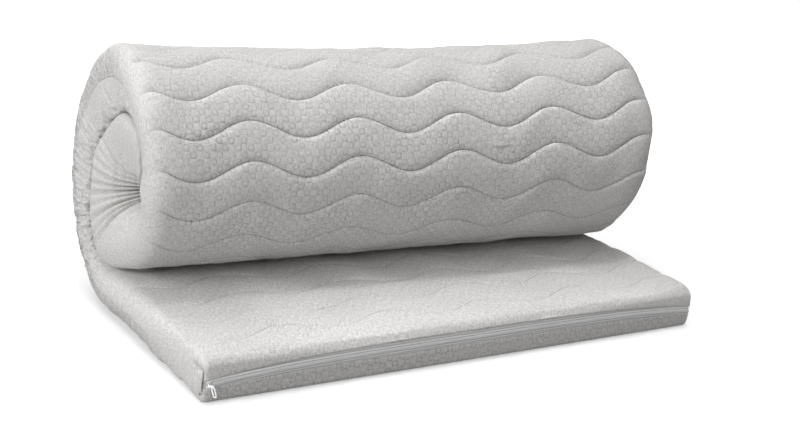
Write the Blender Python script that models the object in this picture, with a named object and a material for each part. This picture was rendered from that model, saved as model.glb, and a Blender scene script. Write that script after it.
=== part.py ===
"""A mattress topper, rolled up from one end, with its free end lying flat in front.

Metres, +Z up. X runs along the roll, and the zipped end of the topper faces -Y. The
topper stands on z = 0, and the origin is under the middle of the whole object.
"""
from collections import namedtuple
from math import cos, exp, hypot, pi, radians, sin, sqrt

import bmesh
import bpy
from mathutils import Matrix, Vector

# Driving dimensions of the topper
WIDTH = 0.900            # along the roll
FLAT_THICK = 0.068       # the flat end, pressed by the roll on it
ROLL_RADIUS = 0.166      # the front of the roll, outside
ROLL_CENTRE = 0.237      # the roll's axis, above the floor
ROLL_TOP = 0.407
BACK_REACH = 0.168       # how far the last bend stands out behind the roll's axis
FLAT_REACH = 0.3195      # from the roll's axis to the zipped end
FLAT_TURN = radians(3.9)  # the flat end lies a little askew under the roll
LAYER = 0.087            # one layer, puffed up where it bends
BACK_LAYER = 0.080
LAYER_GAP = 0.0025       # between layers that lie on each other
FOLD_Y, FOLD_Z = -0.045, 0.205   # the tight first fold that the roll is wound on
FOLD_RADIUS = 0.003
SAG = 0.014              # the roll's top sinks between its ends
EYE_DEPTH = 0.036        # the roll's ends are drawn in around the first fold
EYE_RADIUS = 0.033       # the eye is half as high above the fold
SIDE_ROUND = 0.031       # rounding of the roll's ends
FOLD_ROUND = 0.016       # and of the coil inside it
CORNER_ROUND = 0.007     # the flat end's corners and sides are squarer

# Quilting: wavy seams that cross the topper, one after another
PITCH = 0.0625
SEAM_AFTER_TOP = 0.1034  # from the roll's top to the first seam in front of it
WAVE_LENGTH = 0.1765
WAVE_HEIGHT = 0.0147
WAVE_START = -0.3745     # x of a wave's furthest point
SEAM_SLANT = -0.012      # each seam's drift across the topper
SEAM_DEPTH = 0.006
TOP_SEAM_DEPTH = 0.0035  # the flat end's upper face, laid out smoother
SEAM_MARGIN = 0.028      # plain border beside the seams

# The zip in the edge of the flat end bows up between the corners
ZIP_LOW, ZIP_BOW = 0.029, 0.0115
ZIP_END = 0.4425         # half its length
HALF_GROOVE, GROOVE_LIP, GROOVE_DEPTH = 0.0105, 0.0015, 0.0035
TAPE_WIDTH, TAPE_THICK = 0.0075, 0.0010
CHAIN_WIDTH, CHAIN_THICK = 0.0050, 0.0020
SLIDER_X = -0.4370
SLIDER_LENGTH, SLIDER_WIDTH, SLIDER_THICK = 0.0100, 0.0080, 0.0044
PULL_LENGTH, PULL_WIDTH, PULL_THICK = 0.0230, 0.0042, 0.0012
PULL_TILT = radians(20)
PULL_LAP = 0.0020        # how far the pull reaches up over the slider
CLEAR = 0.0003

# Mesh fineness
COLUMNS_A_WAVE = 6
SIDE_STEPS = (1.0, 0.97, 0.80, 0.45, 0.0)   # places in the side rounding, outermost first
ARC_STEPS = 60
ZIP_STEPS = 24

# Stretches of the winding, seen from +X. Each face runs along an ellipse about (y, z), from
# angle start to end in degrees, 0 straight down and 90 towards +Y. A power under 2 draws
# the ellipse's shoulder in.
Arc = namedtuple("Arc", "y z across up start end power")
CORE = ROLL_RADIUS - LAYER
HOLLOW_TOP = ROLL_TOP - LAYER
COIL_LOW, COIL_HIGH = FLAT_THICK + LAYER_GAP, HOLLOW_TOP - LAYER_GAP
BACK_INSIDE = BACK_REACH - BACK_LAYER
HALF_TOP = ROLL_TOP / 2
WINDING = {
    "low back": (Arc(0, HALF_TOP, BACK_REACH, HALF_TOP, 0, 90, 1.67),
                 Arc(0, (FLAT_THICK + HOLLOW_TOP) / 2, BACK_INSIDE,
                     (HOLLOW_TOP - FLAT_THICK) / 2, 0, 90, 2)),
    "high back": (Arc(0, HALF_TOP, BACK_REACH, HALF_TOP, 90, 180, 2),
                  Arc(0, (FLAT_THICK + HOLLOW_TOP) / 2, BACK_INSIDE,
                      (HOLLOW_TOP - FLAT_THICK) / 2, 90, 180, 2)),
    "front": (Arc(0, ROLL_CENTRE, ROLL_RADIUS, ROLL_TOP - ROLL_CENTRE, 180, 270, 2),
              Arc(0, ROLL_CENTRE, CORE, HOLLOW_TOP - ROLL_CENTRE, 180, 270, 2)),
    "under": (Arc(0, ROLL_CENTRE, ROLL_RADIUS, ROLL_CENTRE - COIL_LOW, 270, 360, 2),
              Arc(FOLD_Y, ROLL_CENTRE, CORE + FOLD_Y, ROLL_CENTRE - FOLD_Z - FOLD_RADIUS,
                  270, 360, 2)),
    "fold": (Arc(0, (COIL_LOW + COIL_HIGH) / 2, BACK_INSIDE - LAYER_GAP,
                 (COIL_HIGH - COIL_LOW) / 2, 360, 540, 2),
             Arc(FOLD_Y, FOLD_Z, FOLD_RADIUS, FOLD_RADIUS, 360, 540, 2)),
    "tip": (Arc(0, ROLL_CENTRE, CORE - LAYER_GAP, COIL_HIGH - ROLL_CENTRE, 540, 612, 2),
            Arc(FOLD_Y, ROLL_CENTRE + FOLD_RADIUS, CORE + FOLD_Y - 2 * LAYER_GAP,
                ROLL_CENTRE - FOLD_Z, 360, 290, 2)),
}
TIP_ROUND = 0.012        # how far the rounded end of the topper runs on past the last row
TIP_AHEAD = Vector((0.0, -0.35, -0.94))


def smooth(low, high, value):
    """0 at low, 1 at high, and an even S between them."""
    t = min(1.0, max(0.0, (value - low) / (high - low)))
    return t * t * (3 - 2 * t)


def signed_power(value, power):
    return abs(value) ** power * (1 if value > 0 else -1)


def on_arc(arc, share):
    angle = radians(arc.start + (arc.end - arc.start) * share)
    y = arc.across * signed_power(sin(angle), 2 / arc.power)
    return arc.y + y, arc.z - arc.up * signed_power(cos(angle), 2 / arc.power)


def measured_winding():
    """Each stretch, with the topper's length at each of its steps, from the zipped end."""
    stretches, start = {}, FLAT_REACH
    for name, (outer, inner) in WINDING.items():
        lengths = [start]
        for step in range(ARC_STEPS):
            y0, z0 = on_arc(outer, step / ARC_STEPS)
            y1, z1 = on_arc(outer, (step + 1) / ARC_STEPS)
            lengths.append(lengths[-1] + hypot(y1 - y0, z1 - z0))
        stretches[name] = (outer, inner, lengths)
        start = lengths[-1]
    return stretches


STRETCHES = measured_winding()
TOTAL = STRETCHES["tip"][2][-1]
ROLL_START = STRETCHES["front"][2][0]    # the roll's top
ROLL_END = STRETCHES["under"][2][-1]     # where the roll lies on the flat end
FIRST_SEAM = (ROLL_START + SEAM_AFTER_TOP) % PITCH
FIRST_SEAM += PITCH if FIRST_SEAM < PITCH * 0.7 else 0.0


def faces_at(length):
    """The outer and the inner face's (y, z) at a length from the zipped end."""
    if length <= FLAT_REACH:
        return (length - FLAT_REACH, 0.0), (length - FLAT_REACH, FLAT_THICK)
    length = min(length, TOTAL)
    outer, inner, lengths = next(s for s in STRETCHES.values() if length <= s[2][-1])
    step = next(i for i in range(ARC_STEPS) if length <= lengths[i + 1])
    share = (step + (length - lengths[step]) / (lengths[step + 1] - lengths[step])) / ARC_STEPS
    return on_arc(outer, share), on_arc(inner, share)


def seam_shift(x, length):
    """How far a row runs along the topper at x. The waves turn over under the roll."""
    near_ends = smooth(0.02, FIRST_SEAM, length) * smooth(TOTAL, TOTAL - 0.08, length)
    turned = 2 * smooth(FLAT_REACH - 0.02, FLAT_REACH + 0.12, length) - 1
    wave = WAVE_HEIGHT * turned * cos(2 * pi * (x - WAVE_START) / WAVE_LENGTH)
    return (wave + SEAM_SLANT * x / WIDTH) * near_ends


def seam_depths(x, length, seam):
    """How far a seam draws in the outer and the inner face."""
    if not seam:
        return 0.0, 0.0
    border = smooth(WIDTH / 2 - SEAM_MARGIN, WIDTH / 2 - 2 * SEAM_MARGIN, abs(x))
    on_roll = smooth(FLAT_REACH, FLAT_REACH + 0.10, length)
    on_roll *= smooth(ROLL_END, ROLL_END - 0.10, length)
    on_flat = smooth(FLAT_REACH, FLAT_REACH - 0.06, length)
    return SEAM_DEPTH * on_roll * border, TOP_SEAM_DEPTH * on_flat * border


def draw_in(x, y, z):
    """The roll's ends sink in around the first fold."""
    distance = hypot(y - FOLD_Y, (z - FOLD_Z) * (2 if z > FOLD_Z else 1))
    depth = EYE_DEPTH * exp(-(distance / EYE_RADIUS) ** 2) * smooth(0.22, WIDTH / 2, abs(x))
    return x - (depth if x > 0 else -depth)


def place(x, y, z, length):
    """From the straight roll to its place, with the sag and the turned flat end."""
    z -= SAG * (1 - (2 * x / WIDTH) ** 2) * (z / ROLL_TOP) ** 2
    turn = FLAT_TURN * (1 - smooth(FLAT_REACH - 0.12, FLAT_REACH + 0.12, length))
    return Vector((x * cos(turn) - y * sin(turn), x * sin(turn) + y * cos(turn), z))


def columns():
    """Across the topper: (x, None) in the middle and (side, step) in the rounded sides."""
    step = WAVE_LENGTH / COLUMNS_A_WAVE
    count = int((WIDTH / 2 - 0.06 - WAVE_START) / step) + 1
    middle = [(WAVE_START + i * step, None) for i in range(count)]
    left = [(-1, share) for share in SIDE_STEPS]
    right = [(1, share) for share in reversed(SIDE_STEPS)]
    return left + middle + right


def rows():
    """Along the topper: (length outside, length inside, on a seam), one row on each seam
    and one between. The edge's rounding is tight below and wide above."""
    found = [(0.012, 0.028, False)]
    length, seam = FIRST_SEAM, True
    while length < TOTAL - PITCH / 3:
        found.append((length, length, seam))
        length, seam = length + PITCH / 2, not seam
    return found + [(TOTAL, TOTAL, False)]


def across(column, length):
    """A column's x at a length, and how much of the thickness is left there."""
    x, step = column
    if step is None:
        return x, 1.0
    rounding = CORNER_ROUND
    rounding += (SIDE_ROUND - CORNER_ROUND) * smooth(0.05, FLAT_REACH, length)
    rounding += (FOLD_ROUND - SIDE_ROUND) * smooth(ROLL_END - 0.12, ROLL_END + 0.03, length)
    slim = max(0.2, (1 - step ** 2.4) ** (1 / 2.4))
    return x * (WIDTH / 2 - rounding * (1 - step)), slim


def face_point(column, length, seam, inside):
    """A point of the outer or the inner face."""
    x, slim = across(column, length)
    length += seam_shift(x, length)
    outer, inner = faces_at(length)
    thick = hypot(outer[0] - inner[0], outer[1] - inner[1])
    face = inner if inside else outer
    keep = slim * (1 - 2 * seam_depths(x, length, seam)[inside] / thick)
    my, mz = (outer[0] + inner[0]) / 2, (outer[1] + inner[1]) / 2
    y, z = my + (face[0] - my) * keep, mz + (face[1] - mz) * keep
    return place(draw_in(x, y, z), y, z, length)


def zip_height(x):
    return ZIP_LOW + ZIP_BOW * (1 - (x / ZIP_END) ** 4)


def edge_points(column):
    """The edge of the flat end from the zip down and from the zip up."""
    x, slim = across(column, 0.0)
    middle = zip_height(x)
    groove = GROOVE_DEPTH * smooth(1.0, 0.5, column[1] or 0.0)
    lip = HALF_GROOVE + GROOVE_LIP
    # height, how far back from the zipped end
    lower = ((middle - 0.003, groove), (middle - HALF_GROOVE, groove), (middle - lip, 0.0),
             (0.009, 0.0), (0.002, 0.004))
    upper = ((middle + 0.003, groove), (middle + HALF_GROOVE, groove), (middle + lip, 0.0),
             (0.060, 0.006), (0.0665, 0.015))
    corner = max(0.0, (abs(x) - WIDTH / 2) / CORNER_ROUND + 1)
    rounded = CORNER_ROUND * (1 - sqrt(max(0.0, 1 - corner ** 2)))
    centre = FLAT_THICK / 2
    return [[place(x, -FLAT_REACH + back + rounded, centre + (z - centre) * slim, 0.0)
             for z, back in half] for half in (lower, upper)]


def column_loop(column):
    """One closed loop of points: down the edge, along the outer face, round the tip,
    back along the inner face and down the edge to its middle again."""
    lower, upper = edge_points(column)
    for outside, inside, seam in rows():
        lower.append(face_point(column, outside, seam, False))
        upper.append(face_point(column, inside, seam, True))
    last_out, last_in = lower[-1], upper[-1]
    middle = (last_out + last_in) / 2
    for share in (0.75, 0.35):
        ahead = TIP_AHEAD * TIP_ROUND * sqrt(1 - share ** 2)
        lower.append(middle + (last_out - middle) * share + ahead)
        upper.append(middle + (last_in - middle) * share + ahead)
    return lower + upper[::-1]


def make_body():
    """The topper's loft: a grid of columns by loop points, closed at both sides."""
    mesh = bmesh.new()
    grid = [[mesh.verts.new(point) for point in column_loop(column)] for column in columns()]
    size = len(grid[0])
    for left, right in zip(grid, grid[1:]):
        for i in range(size):
            j = (i + 1) % size
            mesh.faces.new((left[i], left[j], right[j], right[i]))
    for side in (grid[0], grid[-1]):
        for i in range(size // 2 - 1):
            j = size - 1 - i
            mesh.faces.new((side[i], side[i + 1], side[j - 1], side[j]))
    bmesh.ops.recalc_face_normals(mesh, faces=mesh.faces)
    return mesh


def make_material(name, colour, roughness, metallic=0.0):
    material = bpy.data.materials.new(name)
    material.use_nodes = True
    shader = material.node_tree.nodes["Principled BSDF"]
    shader.inputs["Base Color"].default_value = (*colour, 1.0)
    shader.inputs["Roughness"].default_value = roughness
    shader.inputs["Metallic"].default_value = metallic
    return material


def add_object(name, mesh, material, collection, sharp_angle):
    """Turn a bmesh into an object of the topper."""
    data = bpy.data.meshes.new(name)
    mesh.to_mesh(data)
    mesh.free()
    data.shade_smooth()
    data.set_sharp_from_angle(angle=sharp_angle)
    data.materials.append(material)
    thing = bpy.data.objects.new(name, data)
    collection.objects.link(thing)
    return thing


def block(length, thick, height, bevel):
    """A box with bevelled edges: length in X, thickness in Y, height in Z."""
    mesh = bmesh.new()
    bmesh.ops.create_cube(mesh, size=1.0, matrix=Matrix.Diagonal((length, thick, height, 1.0)))
    bmesh.ops.bevel(mesh, geom=mesh.edges[:], offset=bevel, segments=2, profile=0.5,
                    affect="EDGES", clamp_overlap=True)
    return mesh


def zip_strip(start, end, thick, width, off):
    """A strip along the zip's bow, off above its middle, with its front face rounded."""
    mesh = bmesh.new()
    section = ((0.0, -0.5), (-0.6, -0.5), (-1.0, -0.3), (-1.0, 0.3), (-0.6, 0.5), (0.0, 0.5))
    rings = []
    for step in range(ZIP_STEPS + 1):
        x = start + (end - start) * step / ZIP_STEPS
        z = zip_height(x) + off
        rings.append([mesh.verts.new((x, y * thick, z + w * width)) for y, w in section])
    for left, right in zip(rings, rings[1:]):
        for i in range(len(section)):
            j = (i + 1) % len(section)
            mesh.faces.new((left[i], left[j], right[j], right[i]))
    mesh.faces.new(rings[0])
    mesh.faces.new(rings[-1])
    bmesh.ops.recalc_face_normals(mesh, faces=mesh.faces)
    return mesh


def on_edge(thing, x, out, height, tilt=0.0):
    """Put a piece on the flat end's edge: x along it, out from the groove's floor."""
    spot = Matrix.Rotation(FLAT_TURN, 4, "Z") @ Vector((x, GROOVE_DEPTH - FLAT_REACH - out, 0))
    thing.location = (spot.x, spot.y, height)
    thing.rotation_euler = (0.0, tilt, FLAT_TURN)


def make_zip(collection):
    """Two tapes, the chain between them, and the slider with its hanging pull."""
    tape_cloth = make_material("zip_tape", (0.80, 0.80, 0.78), 0.85)
    chain_nylon = make_material("zip_chain", (0.86, 0.86, 0.85), 0.45)
    metal = make_material("zip_metal", (0.72, 0.72, 0.73), 0.30, 1.0)
    soft, hard = radians(60), radians(40)
    tape_off = (CHAIN_WIDTH + TAPE_WIDTH) / 2 - 0.001
    for name, off in (("zip_tape_upper", tape_off), ("zip_tape_lower", -tape_off)):
        strip = zip_strip(-ZIP_END, ZIP_END, TAPE_THICK, TAPE_WIDTH, off)
        on_edge(add_object(name, strip, tape_cloth, collection, soft), 0.0, CLEAR, 0.0)
    front = 2 * CLEAR + TAPE_THICK
    chain_start = SLIDER_X + SLIDER_LENGTH / 2 + CLEAR
    strip = zip_strip(chain_start, ZIP_END, CHAIN_THICK, CHAIN_WIDTH, 0.0)
    on_edge(add_object("zip_chain", strip, chain_nylon, collection, soft), 0.0, front, 0.0)
    slider = add_object("zip_slider", block(SLIDER_LENGTH, SLIDER_THICK, SLIDER_WIDTH, 0.0012),
                        metal, collection, hard)
    on_edge(slider, SLIDER_X, front + SLIDER_THICK / 2, zip_height(SLIDER_X))
    pull = add_object("zip_pull", block(PULL_WIDTH, PULL_THICK, PULL_LENGTH, 0.0005),
                      metal, collection, hard)
    swing = PULL_LENGTH / 2 - PULL_LAP
    on_edge(pull, SLIDER_X + swing * sin(PULL_TILT),
            front + SLIDER_THICK + CLEAR + PULL_THICK / 2,
            zip_height(SLIDER_X) - swing * cos(PULL_TILT), -PULL_TILT)


def centre_all(things):
    """Move everything so that the origin is under the middle of the whole object."""
    bpy.context.view_layer.update()
    corners = [thing.matrix_world @ vert.co for thing in things for vert in thing.data.vertices]
    for axis in (0, 1):
        low = min(corner[axis] for corner in corners)
        high = max(corner[axis] for corner in corners)
        for thing in things:
            thing.location[axis] -= (low + high) / 2


def main():
    for thing in list(bpy.data.objects):
        bpy.data.objects.remove(thing, do_unlink=True)
    collection = bpy.data.collections.new("mattress_topper")
    bpy.context.scene.collection.children.link(collection)
    knit = make_material("cover_knit", (0.74, 0.75, 0.75), 0.90)
    add_object("topper", make_body(), knit, collection, radians(60))
    make_zip(collection)
    centre_all(list(collection.objects))


main()
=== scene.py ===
"""The rolled mattress topper's looks: quilted knit cover, zip and soft studio light.

Sizes are in metres. x runs across the topper's width, y from its zipped end to its back with
0 under the roll's axis, and z up from the floor. A length is measured along the slab's outer
face from the zipped end.
"""

from collections import namedtuple
from math import cos, pi, radians, sin

import bpy
import numpy as np
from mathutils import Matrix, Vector


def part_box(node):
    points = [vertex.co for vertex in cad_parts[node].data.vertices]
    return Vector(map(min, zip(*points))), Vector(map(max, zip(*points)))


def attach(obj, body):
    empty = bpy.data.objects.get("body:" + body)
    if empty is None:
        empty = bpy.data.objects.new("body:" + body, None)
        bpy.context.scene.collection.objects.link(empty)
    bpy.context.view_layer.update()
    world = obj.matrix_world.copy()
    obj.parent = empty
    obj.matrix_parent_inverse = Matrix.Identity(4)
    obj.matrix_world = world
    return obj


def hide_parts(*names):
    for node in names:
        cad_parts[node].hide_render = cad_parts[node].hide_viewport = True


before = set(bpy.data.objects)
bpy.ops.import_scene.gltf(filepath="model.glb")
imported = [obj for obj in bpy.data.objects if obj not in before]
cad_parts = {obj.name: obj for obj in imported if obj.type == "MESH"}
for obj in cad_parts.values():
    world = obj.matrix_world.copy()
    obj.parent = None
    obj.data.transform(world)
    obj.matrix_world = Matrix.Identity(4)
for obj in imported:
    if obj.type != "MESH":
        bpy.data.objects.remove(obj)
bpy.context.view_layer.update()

# ------------ sizes of the topper
WIDTH = 0.900
FLAT_THICK = 0.068
FLAT_REACH = 0.3195    # from the roll's axis to the zipped end
FLAT_TURN = radians(3.9)    # the flat end lies a little askew under the roll
ROLL_RADIUS = 0.166
ROLL_CENTRE = 0.237    # height of the roll's axis
ROLL_TOP = 0.407
BACK_REACH = 0.168    # from the roll's axis to its back
LAYER, BACK_LAYER, LAYER_GAP = 0.087, 0.080, 0.0025
FOLD_Y, FOLD_Z, FOLD_RADIUS = -0.045, 0.205, 0.003    # the coil's first fold
SAG = 0.014    # of the roll's top, halfway along it

# the sides: superellipse roundings, blunter where layers press on each other
SIDE_ROUND, FRONT_ROUND, FOLD_ROUND, CORNER_ROUND = 0.034, 0.044, 0.018, 0.010
SIDE_POWER, PRESSED_INSIDE, PRESSED_OUTSIDE = 2.25, 1.75, 1.25
SLIM_LEFT = 0.015    # share of the thickness that is left where a side closes
TIP_ROUND = 0.012    # the slab's inner end
EYE_DEPTH, EYE_RADIUS = 0.037, 0.034    # pit at the fold, in the roll's ends
DISH_DEPTH, DISH_RADIUS = 0.022, 0.075    # wide hollow round the pit
EYE_AHEAD, EYE_FLATTER = 0.010, 1.8    # the pit lies before the fold, and reaches less far above it
EYE_START = 0.22    # |x| from which the roll's end is drawn in

# quilting: wavy seams across the slab, one after another along it
PITCH, SEAM_AFTER_TOP = 0.0625, 0.1034
WAVE_LENGTH, WAVE_HEIGHT, WAVE_START = 0.1765, 0.0147, -0.3745
WAVE_SPAN = 0.425    # |x| up to which a seam waves
SEAM_SLANT = -0.012
SEAM_CUT, SEAM_CUT_REACH = 0.0017, 0.0019    # narrow cut where the thread pulls in
SEAM_DIP, SEAM_STEEP, SEAM_GENTLE = 0.0044, 0.0036, 0.0090    # wide dip, with unlike slopes
SEAM_EDGE, SEAM_WHOLE = 0.446, 0.426    # |x| where a seam ends, and where it has its full depth
LOST_ON_FLAT, LOST_UNDER = 0.45, 0.75    # of a seam's depth on the flat end, and under the roll
CORNER_SEAM, BACK_SEAM = 0.773, 0.920    # how far into the side's rounding
CORNER_DEPTH, CORNER_WIDE = 0.0034, 0.045    # the wide is a share of the rounding

# the zip, in a groove along the flat end's edge that bows up in the middle
ZIP_LOW, ZIP_BOW, ZIP_END = 0.029, 0.0115, 0.4425
BAND_HALF, BAND_NARROWS, BAND_END = 0.0108, 0.0042, 0.44
GROOVE_DEPTH, LIP = 0.0029, 0.0007

# crumpled cloth, drawn unevenly: steps along the slab, half widths and depths, from and to
WRINKLES = ((0.008, 0.016), (0.0024, 0.0046), (0.0028, 0.0066))
PLEATS = ((0.017, 0.027), (0.004, 0.007), (0.0042, 0.0075))
LOST_ABOVE, AT_COIL, BROKEN = 0.85, 1.3, 0.75    # shares of a wrinkle's depth
LOST_OUTSIDE = 0.9    # of a pleat's depth on the coil's outer face
DEEPER, DEEPER_REACH = 1.5, 0.05    # the pleats deepen towards the fold

# how finely the cover is made
ARC_STEPS = 241
FINE_STEP, ROW_CLEAR = 0.0028, 0.003
FIRST_OUTER, FIRST_INNER = 0.010, 0.024    # lengths where the two faces begin
SEAM_STEPS = (0.0016, 0.0042, 0.009, 0.017)    # rows on both sides of a seam
MIDDLE_COLUMNS, MIDDLE_SPAN = 109, 0.396
SIDE_COLUMNS, FINE_COLUMNS = 14, 16    # on each side
TIP_ANGLES = (25, 50, 72)

CORE = ROLL_RADIUS - LAYER
HOLLOW_TOP = ROLL_TOP - LAYER
HOLLOW_HALF = (HOLLOW_TOP - FLAT_THICK) / 2
COIL_LOW, COIL_HIGH = FLAT_THICK + LAYER_GAP, HOLLOW_TOP - LAYER_GAP
BACK_INSIDE = BACK_REACH - BACK_LAYER
HALF_TOP = ROLL_TOP / 2
COIL_MID = (FLAT_THICK + HOLLOW_TOP) / 2
# the coil, and the hollow it lies in, lean to the front by so much between two heights
LEANS = ((0.010, 0.09, 0.18), (0.036, 0.20, HOLLOW_TOP))

# the winding, arc by arc, as its outer and its inner face
# columns: centre y, centre z, reach across, reach up, start and end angle, power
WINDING = (
    ((0, HALF_TOP, BACK_REACH, HALF_TOP, 0, 90, 1.67),
     (0, COIL_MID, BACK_INSIDE, HOLLOW_HALF, 0, 90, 2)),
    ((0, HALF_TOP, BACK_REACH, HALF_TOP, 90, 180, 2),
     (0, COIL_MID, BACK_INSIDE, HOLLOW_HALF, 90, 180, 2)),
    ((0, ROLL_CENTRE, ROLL_RADIUS, ROLL_TOP - ROLL_CENTRE, 180, 270, 2),
     (0, ROLL_CENTRE, CORE, HOLLOW_TOP - ROLL_CENTRE, 180, 270, 2)),
    ((0, ROLL_CENTRE, ROLL_RADIUS, ROLL_CENTRE - COIL_LOW, 270, 360, 2),
     (FOLD_Y, ROLL_CENTRE, CORE + FOLD_Y, ROLL_CENTRE - FOLD_Z - FOLD_RADIUS, 270, 360, 2)),
    ((0, (COIL_LOW + COIL_HIGH) / 2, BACK_INSIDE - LAYER_GAP,
      (COIL_HIGH - COIL_LOW) / 2, 360, 540, 2),
     (FOLD_Y, FOLD_Z, FOLD_RADIUS, FOLD_RADIUS, 360, 540, 2)),
    ((0, ROLL_CENTRE, CORE - LAYER_GAP, COIL_HIGH - ROLL_CENTRE, 540, 612, 2),
     (FOLD_Y, ROLL_CENTRE + FOLD_RADIUS, CORE + FOLD_Y - 2 * LAYER_GAP,
      ROLL_CENTRE - FOLD_Z, 360, 290, 2)),
)


# ------------ plain shape of the cover
def smooth(low, high, value):
    t = np.clip((value - low) / (high - low), 0.0, 1.0)
    return t * t * (3 - 2 * t)


def travelled(points, axis):
    """Distance run along one axis of a grid of points, from 0."""
    steps = np.linalg.norm(np.diff(points, axis=axis), axis=-1)
    start = np.zeros_like(np.take(steps, [0], axis=axis))
    return np.concatenate([start, np.cumsum(steps, axis=axis)], axis=axis)


def arc_points(arc, shares):
    y, z, across, up, start, end, power = arc
    angle = np.radians(start + (end - start) * shares)
    s = np.abs(np.sin(angle)) ** (2 / power) * np.sign(np.sin(angle))
    c = np.abs(np.cos(angle)) ** (2 / power) * np.sign(np.cos(angle))
    return np.stack([y + across * s, z - up * c], 1)


def wound():
    """The outer and inner (y, z) against length, and the length where each arc ends."""
    lengths, outs, ins, ends = [], [], [], []
    start = FLAT_REACH
    shares = np.linspace(0, 1, ARC_STEPS)
    for outer, inner in WINDING:
        out = arc_points(outer, shares)
        run = travelled(out, 0)
        lengths.append(start + run)
        outs.append(out)
        ins.append(arc_points(inner, shares))
        start += run[-1]
        ends.append(start)
    return np.concatenate(lengths), np.concatenate(outs), np.concatenate(ins), ends


TRACK, TRACK_OUT, TRACK_IN, ARC_ENDS = wound()
ROLL_START, FRONT_END, ROLL_END, FOLD_END, TOTAL = ARC_ENDS[1:]
FIRST_SEAM = (ROLL_START + SEAM_AFTER_TOP) % PITCH
FIRST_SEAM += PITCH if FIRST_SEAM < PITCH * 0.7 else 0.0    # clear of the zipped edge


def faces_at(length):
    """(y, z) of the outer and of the inner face."""
    flat = length < FLAT_REACH
    found = []
    for track, lean_start, height in ((TRACK_OUT, ROLL_END, 0.0), (TRACK_IN, FLAT_REACH, FLAT_THICK)):
        face = np.stack([np.interp(length, TRACK, track[:, k]) for k in (0, 1)], -1)
        leaning = length > lean_start
        z = face[leaning, 1]
        face[leaning, 0] -= sum(by * smooth(low, high, z) for by, low, high in LEANS)
        face[flat, 0] = length[flat] - FLAT_REACH
        face[flat, 1] = height
        found.append(face)
    return found


def seam_shift(x, length):
    """How far a seam has moved along the slab at x, in its wave and slant."""
    x = np.clip(x, -WAVE_SPAN, WAVE_SPAN)
    near_ends = smooth(0.02, FIRST_SEAM, length) * smooth(TOTAL, TOTAL - 0.08, length)
    turned = 2 * smooth(FLAT_REACH - 0.02, FLAT_REACH + 0.12, length) - 1
    wave = WAVE_HEIGHT * turned * np.cos(2 * pi * (x - WAVE_START) / WAVE_LENGTH)
    return (wave + SEAM_SLANT * x / WIDTH) * near_ends


def place(x, y, z, length):
    """A point with the roll's sag and the flat end's turn."""
    z = z - SAG * (1 - (2 * x / WIDTH) ** 2) * (z / ROLL_TOP) ** 2
    turn = FLAT_TURN * (1 - smooth(FLAT_REACH - 0.12, FLAT_REACH + 0.12, length))
    return np.stack([x * np.cos(turn) - y * np.sin(turn),
                     x * np.sin(turn) + y * np.cos(turn), z], -1)


def zip_height(x):
    return ZIP_LOW + ZIP_BOW * (1 - (x / ZIP_END) ** 4)


def zip_half(x):
    """Half height of the band that the zip's tapes fill."""
    return BAND_HALF - BAND_NARROWS * min(1.0, abs(x) / BAND_END) ** 3


def row_lengths():
    """Lengths of the rows: the outer face's and the inner face's, each coarse and fine."""
    steps = [-step for step in SEAM_STEPS[::-1]] + [0.0] + list(SEAM_STEPS) + [PITCH / 2]
    seams = np.arange(FIRST_SEAM, TOTAL - PITCH / 3, PITCH)

    def coarse(start, seen_from, seen_to):
        """Rows at each seam and between seams, with more of them where the face is seen."""
        found = [start]
        for seam in seams:
            for step in steps:
                length = seam + step
                fits = start + ROW_CLEAR < length < TOTAL - ROW_CLEAR
                if fits and (seen_from < length < seen_to or step in (0.0, PITCH / 2)):
                    found.append(length)
        return np.array(sorted(found + [TOTAL]))

    def fine(rows):
        found = []
        for a, b in zip(rows, rows[1:]):
            count = max(1, round((b - a) / FINE_STEP))
            found += list(a + (b - a) * np.arange(count) / count)
        return np.array(found + [rows[-1]])

    outer = coarse(FIRST_OUTER, FLAT_REACH - 0.05, ROLL_END - 0.02)
    inner = coarse(FIRST_INNER, 0.0, FLAT_REACH + 0.03)
    return outer, fine(outer), inner, fine(inner)


OUTER, OUTER_FINE, INNER, INNER_FINE = row_lengths()

# a column runs round the slab at one x; in a side it has a share of the rounding instead
Column = namedtuple("Column", "side x share slim")


def columns():
    """Columns from -X to +X, with the share of the thickness that each has left."""
    stations = []
    for k in range(SIDE_COLUMNS):
        angle = radians(90 * (1 - k / (SIDE_COLUMNS - 1)))
        slim = cos(angle) ** (2 / SIDE_POWER) if k else SLIM_LEFT
        stations.append((sin(angle) ** (2 / SIDE_POWER), slim))
    left = [Column(-1, None, share, slim) for share, slim in stations]
    right = [Column(1, None, share, slim) for share, slim in stations[::-1]]
    middle = np.linspace(-MIDDLE_SPAN, MIDDLE_SPAN, MIDDLE_COLUMNS)
    return left + [Column(0, x, None, 1.0) for x in middle] + right


COLUMNS = columns()
MIDDLE = len(COLUMNS) // 2


def column_x(column, rounding):
    if column.share is None:
        return column.x
    return column.side * (WIDTH / 2 - rounding * (1 - column.share))


def side_rounding(length):
    changes = ((0.03, FLAT_REACH, CORNER_ROUND, SIDE_ROUND),
               (ROLL_START, ROLL_START + 0.15, SIDE_ROUND, FRONT_ROUND),
               (ROLL_END - 0.12, ROLL_END + 0.03, FRONT_ROUND, FOLD_ROUND))
    rounding = CORNER_ROUND
    for start, end, before, after in changes:
        rounding = rounding + (after - before) * smooth(start, end, length)
    return rounding


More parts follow.
